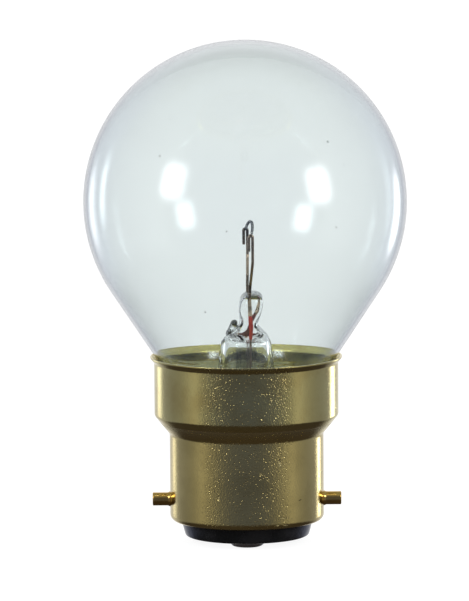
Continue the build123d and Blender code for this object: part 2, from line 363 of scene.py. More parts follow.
# drawn brass of the cap: streaks of the drawing die, dull patches, a grainy worn middle and a few marks
capBrass = {
    "bright": (0.82, 0.655, 0.245),
    "dull": (0.66, 0.52, 0.19),
    "dullShare": 0.7,
    # painted light: the upper cap, its step and skirt, takes a lighter, greener brass for the stronger light
    # it catches
    "upperLitColour": (0.80, 0.69, 0.28),
    "upperLitEdges": (15.5, 18.5),
    "coarse": 170.0,
    "fine": 4300.0,
    "grain": 0.07,
    "streakStretch": (1, 1, 0.06),
    "streakScale": 1500.0,
    "streaks": 0.05,
    "roughEdges": (0.1, 1.2),
    "roughStreaks": 0.4,
    "roughLow": 0.035,
    "roughHigh": 0.09,
    # the worn middle is grainy, and the sides are smoother
    "wornEdges": (7.6, 5.1),
    "smoother": 0.25,
    "speckRough": 0.4,
    "speckColour": (0.98, 0.76, 0.30),
    # the inside of the skirt: rougher, and painted in a lighter colour as painted light on the shaded inner
    # wall
    "insideEdges": (12.42, 12.37),
    "insideRough": 0.42,
    "insideColour": (1.0, 0.90, 0.52),
    # the marks are rough, sunk scratches, their colour painted lighter as painted glints
    "markRough": 0.7,
    "markDepth": -2.0,
    "markGlintColour": (1.0, 0.86, 0.42),
    # middle of each mark in millimetres, its half length, half width and turn in degrees
    "marks": [
        ((4.6, -10.0, 12.65), 0.62, 0.26, 80),
        ((2.0, -10.8, 11.25), 0.40, 0.09, 48),
        ((2.5, -10.7, 11.0), 0.28, 0.08, 50),
        ((2.9, -10.6, 10.3), 0.26, 0.10, 48),
        ((-5.2, -9.7, 13.75), 0.20, 0.16, 0),
        ((5.0, -9.8, 4.75), 0.75, 0.07, 3),
        ((4.7, -9.9, 5.75), 0.22, 0.12, 0),
        ((4.3, -10.1, 3.75), 0.26, 0.13, 0),
        ((5.5, -9.5, 3.7), 0.30, 0.12, 0),
        ((-4.3, -10.1, 6.0), 0.32, 0.10, 20),
        ((-4.0, -10.2, 7.7), 0.12, 0.45, 0),
        ((4.6, -11.9, 22.6), 0.42, 0.15, 0),
    ],
    # one small dark oval, painted nearly black on the brass
    "darkSpot": ((7.5, -8.05, 7.05), 0.28, 0.07, -25),
    "darkSpotColour": (0.10, 0.07, 0.03),
}
oval = {"depth": 3.0, "edges": (1.0, 0.55)}


# 1 inside an oval on the surface, turned about Y, and 0 outside it
def ovalMask(tree, middle, halfLong, halfWide, turn):
    place = tree.nodes.new("ShaderNodeTexCoord").outputs["Object"]
    local = addNode(
        tree, "Mapping", {"vector_type": "TEXTURE"}, Vector=place, Location=[value * mm for value in middle],
        Rotation=(0, radians(turn), 0), Scale=(halfLong * mm, oval["depth"] * mm, halfWide * mm),
    )
    return rangeOf(tree, lengthOf(tree, local.outputs[0]), *oval["edges"], smooth=True)


def makeBrass(name, look):
    material, tree = newMaterial(name)
    place = placeOn(tree)
    patches, pits, height = useGrain(tree, place, look["coarse"], look["fine"])
    along = placeOn(tree, look["streakStretch"])
    streaks = addNode(tree, "TexNoise", Vector=along, Scale=look["streakScale"], Detail=2.0).outputs[0]
    apart = addNode(tree, "SeparateXYZ", Vector=place).outputs
    aside = lengthOf(tree, placeOn(tree, (1, 1, 0)))
    worn = bandOf(tree, maths(tree, "ABSOLUTE", apart[0]), look["wornEdges"])
    high = bandOf(tree, apart[2], look["upperLitEdges"])
    inside = maths(tree, "MULTIPLY", bandOf(tree, aside, look["insideEdges"], smooth=False), high)
    pits = maths(tree, "MULTIPLY", pits, worn)
    height = maths(tree, "MULTIPLY", height, rangeOf(tree, worn, 0, 1, look["smoother"], 1.0))
    # painted light: the lighter brass on the upper cap
    metal = blendColour(tree, high, (*look["bright"], 1), (*look["upperLitColour"], 1))
    dullness = maths(tree, "MULTIPLY", patches, look["dullShare"])
    colour = blendColour(tree, dullness, metal, (*look["dull"], 1))
    uneven = maths(tree, "MULTIPLY_ADD", streaks, look["roughStreaks"], patches)
    rough = rangeOf(tree, uneven, *look["roughEdges"], look["roughLow"], look["roughHigh"])
    relief = maths(tree, "MULTIPLY_ADD", streaks, look["streaks"], height)
    # matt specks on the worn middle scatter the light, and so does the inside of the skirt, whose colour is
    # also painted lighter as painted light on the shaded inner wall
    for shown, kind in ((pits, "speck"), (inside, "inside")):
        rough = rangeOf(tree, shown, 0, 1, rough, look[kind + "Rough"])
        colour = blendColour(tree, shown, colour, (*look[kind + "Colour"], 1))
    # scratch marks: rougher and sunk, and painted lighter as painted glints
    for mark in look["marks"]:
        shown = ovalMask(tree, *mark)
        rough = rangeOf(tree, shown, 0, 1, rough, look["markRough"])
        colour = blendColour(tree, shown, colour, (*look["markGlintColour"], 1))
        relief = maths(tree, "MULTIPLY_ADD", shown, look["markDepth"], relief)
    if look["darkSpot"]:
        colour = blendColour(tree, ovalMask(tree, *look["darkSpot"]), colour, (*look["darkSpotColour"], 1))
    bump = addNode(tree, "Bump", Strength=1.0, Distance=look["grain"] * mm, Height=relief)
    brass = addNode(
        tree, "BsdfPrincipled", Base_Color=colour, Metallic=1.0, Roughness=rough, Normal=bump.outputs[0],
    )
    plainOutput(tree, brass)
    return material


plainBrass = {**capBrass, "marks": [], "darkSpot": None}
pinBrass = {
    **plainBrass,
    "bright": (0.86, 0.56, 0.16),
    "dull": (0.62, 0.38, 0.10),
    "upperLitColour": (0.86, 0.56, 0.16),
    "grain": 0.02,
    "roughLow": 0.12,
    "roughHigh": 0.22,
}
contactBrass = {
    **plainBrass,
    "bright": (0.74, 0.60, 0.30),
    "dull": (0.50, 0.40, 0.20),
    "grain": 0.02,
    "roughLow": 0.2,
    "roughHigh": 0.3,
}


# metals and dull finishes that differ only by their values: their two colours, how metallic they are, the
# lowest and highest roughness, the scales of the patches and of the grain, and the height of the grain
simpleFinishes = {
    "blackGlass": ((0.010, 0.011, 0.012), (0.022, 0.022, 0.024), 0.0, (0.06, 0.16), (200, 1100), 0.05),
    "nickel": ((0.64, 0.50, 0.36), (0.17, 0.15, 0.12), 1.0, (0.16, 0.34), (420, 5000), 0.02),
    "sealCopper": ((0.95, 0.12, 0.08), (0.75, 0.07, 0.05), 0.0, (0.4, 0.6), (700, 4000), 0.02),
    "sealShaded": ((0.30, 0.12, 0.10), (0.18, 0.08, 0.07), 0.0, (0.4, 0.6), (700, 4000), 0.02),
    "leadCopper": ((0.42, 0.30, 0.22), (0.20, 0.15, 0.12), 1.0, (0.3, 0.5), (700, 4000), 0.02),
    "tungsten": ((0.36, 0.37, 0.38), (0.24, 0.24, 0.25), 1.0, (0.3, 0.4), (900, 6000), 0.01),
    # the cement's own cream-olive, painted lighter as painted light against the shade of the cavity it sits
    # in
    "cement": ((0.95, 0.84, 0.48), (0.58, 0.52, 0.28), 0.0, (0.5, 0.8), (260, 1500), 0.2),
    "solder": ((0.60, 0.60, 0.60), (0.40, 0.40, 0.41), 1.0, (0.24, 0.42), (600, 2500), 0.06),
}
simpleLook = {"pitShade": 0.3, "bump": 0.5}


def makeFinish(name, light, dark, metallic, roughness, scales, bumpHeight):
    material, tree = newMaterial(name)
    patches, pits, height = useGrain(tree, placeOn(tree), *scales)
    shade = maths(tree, "MULTIPLY_ADD", pits, simpleLook["pitShade"], patches, clamp=True)
    bump = addNode(tree, "Bump", Strength=simpleLook["bump"], Distance=bumpHeight * mm, Height=height)
    finish = addNode(
        tree, "BsdfPrincipled",
        Base_Color=blendColour(tree, shade, (*light, 1), (*dark, 1)),
        Metallic=metallic,
        Roughness=rangeOf(tree, patches, 0, 1, *roughness),
        Normal=bump.outputs[0],
    )
    plainOutput(tree, finish)
    return material


finishes = {
    "globeGlass": makeGlobeGlass(),
    "stemGlass": makeStemGlass("stemGlass", stemGlass),
    "exhaustGlass": makeStemGlass("exhaustGlass", exhaustGlass),
    "capBrass": makeBrass("capBrass", capBrass),
    "pinBrass": makeBrass("pinBrass", pinBrass),
    "contactBrass": makeBrass("contactBrass", contactBrass),
}
for name, look in simpleFinishes.items():
    finishes[name] = makeFinish(name, *look)
print("finishes made:", len(finishes))


# blown bulb: round crown, cone and neck, one wall thick all over
globe = {
    "diameter": 46.08,
    "wall": 0.6,
    "cone": 33.5,
    "neck": 24.4,
    "neckRound": 6.0,
    "neckStep": 2.5,
    "steps": 168,
    "sharp": 60,
}


# half the bulb's outline, moved inwards by a distance
def bulbLine(inwards):
    cone = radians(globe["cone"])
    centreZ = crownZ - globe["diameter"] / 2
    radius = globe["diameter"] / 2 - inwards
    neck = globe["neck"] / 2 - inwards
    leave = (radius * cos(cone), centreZ - radius * sin(cone))
    cornerZ = leave[1] - (leave[0] - neck) / tan(cone)
    corners = [(neck, neckEndZ), (neck, cornerZ), leave]
    low = roundedLine(corners, [globe["neckRound"] + inwards], globe["neckStep"])
    return low + arcLine((0, centreZ), radius, -globe["cone"], 90)[1:]


def makeGlobe():
    outside = bulbLine(0)
    inside = bulbLine(globe["wall"])
    form = spun(outside[::-1] + inside, globe["steps"], closed=False)
    asPiece("glassGlobe", form, finishes["globeGlass"], ["glass_bulb"], globe["sharp"])


makeGlobe()
print("globe made")


# cap shell: rolled foot, barrel, step, skirt and flared lip in one sheet
shell = {
    "barrel": 22.0,
    "skirt": 26.3,
    "lip": 27.4,
    "sheet": 0.3,
    "skirtHeight": 8.4,
    "stepHeight": 2.65,
    "lipHeight": 0.85,
    "lipBand": 0.22,
    "footRise": 0.15,
    "footFlat": 0.3,
    "footRound": 1.0,
    "stepRound": 0.8,
    "lipRound": 0.4,
    "edgeRound": 0.06,
    "steps": 200,
    "sharp": 40,
}
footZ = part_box("cap_shell")[0].z / mm + shell["footRise"]


# the corners of a line moved sideways by one distance, to its left
def besideLine(corners, distance):
    points = [Vector(corner) for corner in corners]
    ways = [(after - before).normalized() for before, after in zip(points, points[1:])]
    lefts = [Vector((-way.y, way.x)) for way in ways]
    moved = [points[0] + lefts[0] * distance]
    for point, first, second in zip(points[1:], lefts, lefts[1:]):
        moved.append(point + (first + second) * distance / (1 + first.dot(second)))
    moved.append(points[-1] + lefts[-1] * distance)
    return moved


def makeShell():
    barrel, skirt, lip = shell["barrel"] / 2, shell["skirt"] / 2, shell["lip"] / 2
    stepTopZ = lipZ - shell["skirtHeight"]
    corners = [
        (barrel - shell["footRound"] - shell["footFlat"], footZ),
        (barrel, footZ),
        (barrel, stepTopZ - shell["stepHeight"]),
        (skirt, stepTopZ),
        (skirt, lipZ - shell["lipHeight"]),
        (lip, lipZ - shell["lipBand"]),
        (lip, lipZ),
    ]
    turns = [1, -1, 1, -1, 1]  # 1 where the sheet bends towards the inside
    step, lipRound = shell["stepRound"], shell["lipRound"]
    rounds = [shell["footRound"], step, step, lipRound, lipRound]
    innerRounds = [size - turn * shell["sheet"] for size, turn in zip(rounds, turns)]
    inner = besideLine(corners, shell["sheet"])
    edge = shell["edgeRound"]
    outline = roundedLoop(
        [*corners, *inner[::-1]],
        [edge, *rounds, edge, edge, *innerRounds[::-1], edge],
    )
    form = spun(outline, shell["steps"], closed=True)
    asPiece("capShell", form, finishes["capBrass"], ["cap_shell"], shell["sharp"])


makeShell()
print("cap shell made")


# bayonet pins: shank, swaged collar against the barrel and inner head
pin = {
    "diameter": 1.9,
    "reach": 2.5,
    "collar": 2.2,
    "collarLength": 0.3,
    "head": 2.9,
    "headDeep": 0.6,
    "rounds": [0.15, 0.5, 0.1, 0.05, 0, 0, 0.15, 0.15],
    "roundStep": 20,
    "steps": 48,
}


def makePin(name, node, side):
    low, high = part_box(node)
    heightZ = (low.z + high.z) / 2
    barrel = shell["barrel"] / 2
    seat = barrel - shell["sheet"]
    shank, collar = pin["diameter"] / 2, pin["collar"] / 2
    sunk = barrel - sqrt(barrel**2 - collar**2)
    tip = barrel + pin["reach"]
    corners = [
        (0, tip),
        (shank, tip),
        (shank, barrel + pin["collarLength"]),
        (collar, barrel),
        (collar, barrel - sunk),
        (shank, barrel - sunk),
        (shank, seat),
        (pin["head"] / 2, seat),
        (pin["head"] / 2, seat - pin["headDeep"]),
        (0, seat - pin["headDeep"]),
    ]
    form = spun(roundedLine(corners, pin["rounds"], pin["roundStep"]), pin["steps"], closed=False)
    bmesh.ops.rotate(form, verts=form.verts, cent=(0, 0, 0), matrix=Matrix.Rotation(side * pi / 2, 3, "Y"))
    bmesh.ops.translate(form, verts=form.verts, vec=(0, 0, heightZ))
    asPiece(name, form, finishes["pinBrass"], [node])


makePin("pinRight", "bayonet_pin_right", 1)
makePin("pinLeft", "bayonet_pin_left", -1)

# black glass in the foot of the shell
insulator = {
    "face": 17.6,
    "taper": 0.6,
    "edgeRound": 0.5,
    "mouthRounds": [0.1, 0.02, 0.02],
    "topRound": 0.2,
    "roundStep": 15,
    "steps": 120,
}


def makeInsulator():
    low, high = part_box("insulator")
    faceZ, topZ = low.z / mm, high.z / mm
    face = insulator["face"] / 2
    mouth = shell["barrel"] / 2 - shell["footRound"] - shell["footFlat"]
    bore = shell["barrel"] / 2 - shell["sheet"]
    corners = [
        (0, faceZ),
        (face, faceZ),
        (face + insulator["taper"], footZ),
        (mouth, footZ),
        (mouth, footZ + shell["sheet"]),
        (bore, footZ + shell["sheet"]),
        (bore, topZ),
        (0, topZ),
    ]
    footInside = shell["footRound"] - shell["sheet"]
    rounds = [insulator["edgeRound"], *insulator["mouthRounds"], footInside, insulator["topRound"]]
    form = spun(roundedLine(corners, rounds, insulator["roundStep"]), insulator["steps"], closed=False)
    asPiece("insulatorGlass", form, finishes["blackGlass"], ["insulator"])


makeInsulator()

# contact plates set in the insulator, and the solder worn flat on them
contact = {
    "length": 7.0,
    "width": 5.4,
    "edge": 0.08,
    "edgeSteps": 2,
    "rimAngle": 60,
    "steps": 48,
    "solder": 5.0,
    "flat": 3.4,
    "solderStep": 8,
    "solderSteps": 64,
}


def makePlate(side):
    low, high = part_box("contact_plate_" + side)
    form = bmesh.new()
    radius = contact["width"] / 2 * mm
    disc = bmesh.ops.create_circle(form, cap_ends=True, segments=contact["steps"], radius=radius)["verts"]
    stretch = (contact["length"] - contact["width"]) / 2 * mm
    for vert in disc:
        vert.co.x += stretch if vert.co.x > 0 else -stretch
    raised = bmesh.ops.extrude_face_region(form, geom=form.faces[:])["geom"]
    upper = [item for item in raised if isinstance(item, bmesh.types.BMVert)]
    bmesh.ops.translate(form, verts=upper, vec=(0, 0, high.z - low.z))
    bmesh.ops.recalc_face_normals(form, faces=form.faces)
    rims = [edge for edge in form.edges if edge.calc_face_angle(0) > radians(contact["rimAngle"])]
    bmesh.ops.bevel(
        form, geom=rims, offset=contact["edge"] * mm, affect="EDGES", segments=contact["edgeSteps"],
        profile=0.5, material=-1,
    )
    bmesh.ops.translate(form, verts=form.verts, vec=(0, (low.y + high.y) / 2, low.z))
    name = "contactPlate" + side.capitalize()
    asPiece(name, form, finishes["contactBrass"], ["contact_plate_" + side])


def makeSolder(side):
    low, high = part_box("contact_plate_" + side)
    base, flat, rise = contact["solder"] / 2, contact["flat"] / 2, low.z / mm
    swell = ((base - flat) ** 2 + rise**2) / (2 * rise)  # radius of the side that leaves the flat level
    lastAngle = degrees(asin(min(1, (base - flat) / swell))) - 90
    swelling = arcLine((flat, swell), swell, -90, lastAngle, contact["solderStep"])
    form = spun([Vector((0, 0)), *swelling, Vector((0, rise))], contact["solderSteps"], closed=False)
    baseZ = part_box("solder_bead_" + side)[0].z
    bmesh.ops.translate(form, verts=form.verts, vec=(0, (low.y + high.y) / 2, baseZ))
    name = "solderBead" + side.capitalize()
    asPiece(name, form, finishes["solder"], ["solder_bead_" + side])


for side in ("front", "rear"):
    makePlate(side)
    makeSolder(side)
print("pins, insulator and contacts made")

# ring of cement between the neck and the skirt, its top uneven where it was brushed in
cement = {
    "gap": 0.01,
    "depth": 1.9,
    "flare": 0.13,
    "topRound": 0.25,
    "rounds": [0.1, 0.2, 0.2],
    "roundStep": 20,
    "steps": 180,
    "wave": (1.0, 2.0, 3),
    "unevenScale": 160.0,
    "uneven": 0.5,
    "lean": 0.5,
}


def makeCement():
    outer = shell["skirt"] / 2 - shell["sheet"] - cement["gap"]
    inner = globe["neck"] / 2 + cement["gap"]
    lowZ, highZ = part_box("capping_cement")[0].z / mm, lipZ - cement["depth"]
    corners = [(inner + cement["flare"], highZ), (inner, lowZ), (outer, lowZ), (outer, highZ)]
    outline = roundedLoop(corners, [*cement["rounds"], cement["topRound"]], cement["roundStep"])
    form = spun(outline, cement["steps"], closed=True)
    for vert in form.verts:
        if vert.co.z > (lowZ + highZ) / 2 * mm:
            wave = noise.fractal(vert.co * cement["unevenScale"], *cement["wave"])
            leaning = cement["lean"] * vert.co.x / (outer * mm)  # it stands higher at the left
            vert.co.z += (cement["uneven"] * wave - leaning - cement["topRound"]) * mm
    asPiece("cementRing", form, finishes["cement"], ["capping_cement"])


makeCement()

# glass stem: crown and bead of the press, waist, shoulder, tube and flare, then back up inside to the dome
stem = {
    "tube": 7.1,
    "taper": 1.1,
    "wall": 0.75,
    "flareRound": 4.5,
    "flareDrop": 1.2,
    "neckGap": 0.1,
    "shoulder": 2.2,
    "domeHeight": 1.4,
    "domeAngles": [20, 40, 60, 75, 86],
    "pressTop": 9.0,
    "topRound": 1.2,
    "topAngles": [86, 75, 60, 45, 30, 15],
    "lean": 0.95,
    # height above the lip, thickness along X and width along Y
    "press": [
        (2.2, 7.1, 7.1),
        (3.23, 5.61, 7.15),
        (4.14, 3.25, 7.45),
        (4.9, 2.5, 7.6),
        (6.8, 3.3, 7.37),
        (7.8, 3.3, 7.3),
    ],
    "pressSteps": 5,
    "tubeStep": 0.5,
    "roundStep": 5,
    "steps": 96,
    "sharp": 60,
}
vent = {
    "height": 3.95,
    "reach": 2.1,
    "slope": 24.0,
    "rim": 1.32,
    "thick": 0.42,
    "deep": 1.2,
    "bore": 0.5,
    "boreTaper": 0.85,
    "boreShare": 0.6,
    "mouthShare": 0.4,
    "neck": 0.9,
    "steps": 40,
    "rimAngles": range(-90, 136, 15),
    "lumpFrom": 0.48,
    "lumpBore": 0.45,
    "lumpScale": 1100.0,
    "lump": 0.34,
}


# a smooth curve through the stations
def smoothStations(stations, count):
    rows = [Vector(row) for row in stations]
    rows = [rows[0] * 2 - rows[1], *rows, rows[-1] * 2 - rows[-2]]
    made = []
    for first, start, end, last in zip(rows, rows[1:], rows[2:], rows[3:]):
        second = first * 2 - start * 5 + end * 4 - last
        third = start * 3 - first - end * 3 + last
        for step in range(count):
            share = step / count
            made.append((start * 2 + (end - first) * share + second * share**2 + third * share**3) / 2)
    return [*made, rows[-2]]


# a ring with round ends and straight sides, as glass takes when it is squeezed between two flat jaws
def ringOf(form, thick, wide, shiftX, height, steps):
    made = bmesh.ops.create_circle(form, cap_ends=False, segments=steps, radius=thick / 2 * mm)["verts"]
    bmesh.ops.rotate(form, verts=made, cent=(0, 0, 0), matrix=Matrix.Rotation(pi / steps, 3, "Z"))
    for vert in made:
        vert.co.y += copysign((wide - thick) / 2 * mm, vert.co.y)
    bmesh.ops.translate(form, verts=made, vec=(shiftX * mm, 0, height * mm))
    return made


def edgesOf(loop):
    verts = set(loop)
    return list({edge for vert in loop for edge in vert.link_edges if verts.issuperset(edge.verts)})


def makeStem():
    tube, wall = stem["tube"] / 2, stem["wall"]
    foot = tube + stem["taper"]
    shoulderZ = lipZ + stem["shoulder"]
    neck = globe["neck"] / 2 - globe["wall"]
    rings = []  # thickness along X, width along Y, height
    bead = stem["press"][-1]
    for angle in stem["topAngles"]:
        trim = stem["topRound"] * (1 - cos(radians(angle)))
        height = stem["pressTop"] - stem["topRound"] * (1 - sin(radians(angle)))
        rings.append((bead[1] - 2 * trim, bead[2] - 2 * trim, height))
    for height, wideX, wideY in reversed(smoothStations(stem["press"], stem["pressSteps"])):
        rings.append((wideX, wideY, height))
    span = stem["pressTop"] - stem["shoulder"]
    rings = [(x, y, stem["lean"] * (h - stem["shoulder"]) / span, lipZ + h) for x, y, h in rings]
    floorZ = neckEndZ + wall
    flare = [(tube, shoulderZ), (foot, floorZ + stem["flareDrop"]), (neck, floorZ + stem["neckGap"])]
    outer = roundedLine(flare, [stem["flareRound"]], stem["roundStep"])
    inner = roundedLine(besideLine(flare, -wall), [stem["flareRound"] + wall], stem["roundStep"])
    outer, inner = [refined(line, stem["tubeStep"]) for line in (outer, inner)]
    for radius, height in [*outer[1:], *reversed(inner)]:
        rings.append((2 * radius, 2 * radius, 0, height))
    for angle in stem["domeAngles"]:
        radius = (tube - wall) * cos(radians(angle))
        rings.append((2 * radius, 2 * radius, 0, inner[0].y + stem["domeHeight"] * sin(radians(angle))))
    form = bmesh.new()
    loops = [ringOf(form, *ring, stem["steps"]) for ring in rings]
    for first, second in zip(loops, loops[1:]):
        bmesh.ops.bridge_loops(form, edges=edgesOf(first) + edgesOf(second))
    for end in (loops[0], loops[-1]):
        bmesh.ops.contextual_create(form, geom=edgesOf(end))
    piece = asPiece("glassStem", form, finishes["stemGlass"], ["glass_stem"], stem["sharp"])
    joinForm(piece, ventRim())


# lumpy ring of glass left where the vent was blown through the side of the stem
def ventRim():
    thick, deep, bore = vent["thick"], vent["deep"], vent["bore"]
    middle = vent["rim"] - thick
    floor = -deep * vent["boreShare"]
    section = [
        (middle + thick * cos(radians(angle)), thick * sin(radians(angle)))
        for angle in vent["rimAngles"]
    ]
    outline = [
        (0, floor),
        (bore * vent["boreTaper"], floor),
        (bore, -thick * vent["mouthShare"]),
        *section[::-1],
        (middle * vent["neck"], -deep),
        (0, -deep),
    ]
    form = spun(outline, vent["steps"], closed=False)
    bmesh.ops.remove_doubles(form, verts=form.verts, dist=weldDistance)
    for vert in form.verts:
        if vert.co.z > -vent["lumpFrom"] * mm and vert.co.xy.length > vent["lumpBore"] * mm:
            lump = noise.noise(vert.co * vent["lumpScale"]) * vent["lump"] * mm
            vert.co += vert.co.normalized() * lump
    slope = radians(vent["slope"])
    outward = Vector((-cos(slope), 0, sin(slope)))
    place = Vector((-vent["reach"], 0, lipZ + vent["height"])) * mm
    bmesh.ops.transform(form, matrix=outward.to_track_quat("Z", "Y").to_matrix().to_4x4(), verts=form.verts)
    bmesh.ops.translate(form, verts=form.verts, vec=place)
    bmesh.ops.recalc_face_normals(form, faces=form.faces)
    return form


# adds a form to a piece as one closed surface
def joinForm(piece, form):
    mesh = bpy.data.meshes.new("tool")
    form.to_mesh(mesh)
    form.free()
    tool = bpy.data.objects.new("tool", mesh)
    bpy.context.scene.collection.objects.link(tool)
    join = piece.modifiers.new("join", "BOOLEAN")
    join.operation = "UNION"
    join.solver = "EXACT"
    join.object = tool
    joined = bpy.data.meshes.new_from_object(piece.evaluated_get(bpy.context.evaluated_depsgraph_get()))
    piece.modifiers.remove(join)
    bpy.data.objects.remove(tool)
    old = piece.data
    piece.data = joined
    bpy.data.meshes.remove(old)


makeStem()

# exhaust tube, drawn to a sealed point at its foot
exhaust = {
    "diameter": 3.0,
    "wall": 0.55,
    "topGap": 0.25,
    "tipLength": 3.0,
    "nib": 0.9,
    "boreTip": 0.05,
    "rounds": [0.3, 3.0, 0.1, 0.1, 2.0, 0.02],
    "roundStep": 12,
    "steps": 64,
    "sharp": 60,
}


def makeExhaust():
    low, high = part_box("exhaust_tube")
    tipZ, topZ = low.z / mm, high.z / mm - exhaust["topGap"]
    radius, wall, nib = exhaust["diameter"] / 2, exhaust["wall"], exhaust["nib"] / 2
    taperZ = tipZ + exhaust["tipLength"]
    boreZ = tipZ + 2 * exhaust["nib"]
    corners = [
        (0, tipZ),
        (nib, tipZ),
        (radius, taperZ),
        (radius, topZ),
        (radius - wall, topZ),
        (radius - wall, taperZ),
        (exhaust["boreTip"], boreZ),
        (0, boreZ),
    ]
    outline = roundedLine(corners, exhaust["rounds"], exhaust["roundStep"])
    form = spun(outline, exhaust["steps"], closed=False)
    asPiece("exhaustTube", form, finishes["exhaustGlass"], ["exhaust_tube"], exhaust["sharp"])


makeExhaust()
print("stem and exhaust tube made")

# leads: outer length to the contact, red seal in the press, inner length up to its hook
leads = {
    "inner": 0.42,
    "seal": 0.4,
    "outer": 0.3,
    "spacing": 5.0,
    "hooks": 8.4,
    "sealLow": 2.9,
    "sealHigh": 6.2,
    "straight": 0.9,
    "upright": 3.6,
    "innerRound": 2.0,
    "hookTop": 17.95,
    "hookAngles": range(20, 181, 20),
    "tail": 2.0,
    "coilWire": 0.11,
    "footSpacing": 9.4,
    "spreadTop": 20.0,
    "spreadFoot": 9.0,
    "outerRound": 5.0,
    "foot": 0.3,
    "front": {"way": -1, "x": 0.6, "hookX": 1.02, "sealFinish": "sealCopper"},
    "rear": {"way": 1, "x": 0.25, "hookX": 0.3, "sealFinish": "sealShaded"},
}


def hookEye(side):
    lead = leads[side]
    bend = (leads["inner"] + leads["coilWire"]) / 2
    height = lipZ + leads["hookTop"] - bend - leads["inner"] / 2
    return Vector((lead["hookX"] - bend, lead["way"] * leads["hooks"] / 2, height)), bend


def makeLead(side):
    lead = leads[side]
    x, y = lead["x"], lead["way"] * leads["spacing"] / 2
    eye, bend = hookEye(side)
    rise = [
        (x, y, lipZ + leads["sealHigh"]),
        (x, y, lipZ + stem["pressTop"] + leads["straight"]),
        (eye.x + bend, eye.y, eye.z - leads["upright"]),
        (eye.x + bend, eye.y, eye.z),
    ]
    hook = [
        eye + Vector((bend * cos(radians(angle)), 0, bend * sin(radians(angle))))
        for angle in leads["hookAngles"]
    ]
    tail = [eye + Vector((-bend, 0, -leads["tail"]))]
    form = wireForm(roundedLine(rise, [leads["innerRound"]] * 2, stepAngle=3) + hook + tail, leads["inner"])
    name = side.capitalize()
    asPiece("innerLead" + name, form, finishes["nickel"], ["inner_lead_" + side])
    seal = [(x, y, lipZ + leads["sealLow"]), (x, y, lipZ + leads["sealHigh"])]
    form = wireForm(seal, leads["seal"])
    asPiece("sealWire" + name, form, finishes[lead["sealFinish"]], ["seal_wire_" + side])
    footY = lead["way"] * leads["footSpacing"] / 2
    drop = [
        (x, y, lipZ + leads["sealLow"]),
        (x, y, leads["spreadTop"]),
        (0, footY, leads["spreadFoot"]),
        (0, footY, leads["foot"]),
    ]
    form = wireForm(roundedLine(drop, [leads["outerRound"]] * 2, stepAngle=4), leads["outer"])
    asPiece("outerLead" + name, form, finishes["leadCopper"], ["outer_lead_" + side])


for side in ("front", "rear"):
    makeLead(side)

# coiled filament, arched from hook to hook
filament = {
    "wire": 0.11,
    "coil": 0.42,
    "turns": 22,
    "rise": 1.75,
    "bow": 0.42,
    "leg": 0.4,
    "perTurn": 16,
    "near": 0.001,
    "sharp": 80,
}


def coilAxis(share):
    front, rear = hookEye("front")[0], hookEye("rear")[0]
    arch = sin(pi * share)
    aside = filament["bow"] * arch * (1 - share) * 2
    return front + (rear - front) * share + Vector((aside, 0, filament["rise"] * arch))


def makeFilament():
    front, rear = hookEye("front")[0], hookEye("rear")[0]
    legShare = filament["leg"] / leads["hooks"]
    count = filament["turns"] * filament["perTurn"]
    radius = (filament["coil"] - filament["wire"]) / 2
    points = [front - Vector((0, filament["leg"], 0))]
    for step in range(count + 1):
        share = legShare + (1 - 2 * legShare) * step / count
        ahead = (coilAxis(share + filament["near"]) - coilAxis(share - filament["near"])).normalized()
        up = ahead.cross(Vector((1, 0, 0))).normalized()
        across = up.cross(ahead)
        turn = 2 * pi * step / filament["perTurn"]
        # the coil swells from the legs over its first and last turn
        ramp = min(1, step / filament["perTurn"], (count - step) / filament["perTurn"])
        swell = radius * ramp * ramp * (3 - 2 * ramp)
        points.append(coilAxis(share) + (across * cos(turn) + up * sin(turn)) * swell)
    points.append(rear + Vector((0, filament["leg"], 0)))
    form = wireForm(points, filament["wire"], 3)
    asPiece("coiledFilament", form, finishes["tungsten"], ["filament"], filament["sharp"])


makeFilament()
print("leads and filament made")

# floor, light and camera
stage = {
    "floorSize": 6.0,
    "floorDrop": 0.02,
    "floorGlow": 0.92,
    "floorColour": 0.25,
    # the walls by the turn from the camera's side in degrees, their brightness and how blue they are
    "walls": [
        (180, 0.84, 1.03),
        (160, 0.68, 1.08),
        (146, 0.52, 1.22),
        (130, 0.38, 1.42),
        (122, 0.28, 1.42),
        (113, 0.24, 1.4),
        (105, 0.22, 1.35),
        (90, 0.24, 1.2),
        (78, 0.32, 1.1),
        (70, 0.40, 1.05),
        (61, 0.39, 1.0),
        (57, 0.20, 1.1),
        (45, 0.15, 1.4),
        (34, 0.11, 1.7),
        (20, 0.084, 2.0),
        (0, 0.084, 2.0),
    ],
    "blueShare": 0.18,
    # the room below and above the walls, with the slopes between which it takes over
    "lowRoom": (0.045, 0.038, 0.036),
    "lowSlopes": (-0.30, -0.60),
    "highRoom": (0.30, 0.32, 0.31),
    "highSlopes": (0.45, 0.85),
    "worldFill": 0.7,
    "stemDepth": 4.5,
    "stemLight": 0.75,
    "bentLight": 3.4,
    "bentSlopes": (0.1, 0.4),
    "panelColour": (0.98, 1.0, 1.04),
    "panelSoftness": 2.6,
    "panelAcross": (1.0, 0.1),
    "panelAlong": (1.0, 0.2),
    # panels as their place, half width and half height in millimetres, glow in reflections and glow as a lamp
    "panels": {
        "softBoxLeft": ((-88, -74, 83), 36, 42, 9.5, 6.0),
        "softBoxRight": ((90, -74, 77), 36, 42, 9.5, 6.0),
        "backStripLeft": ((-270, 315, 0), 110, 140, 1.2, 1.5),
        "backStripRight": ((280, 295, -8), 84, 130, 4.2, 1.5),
    },
}


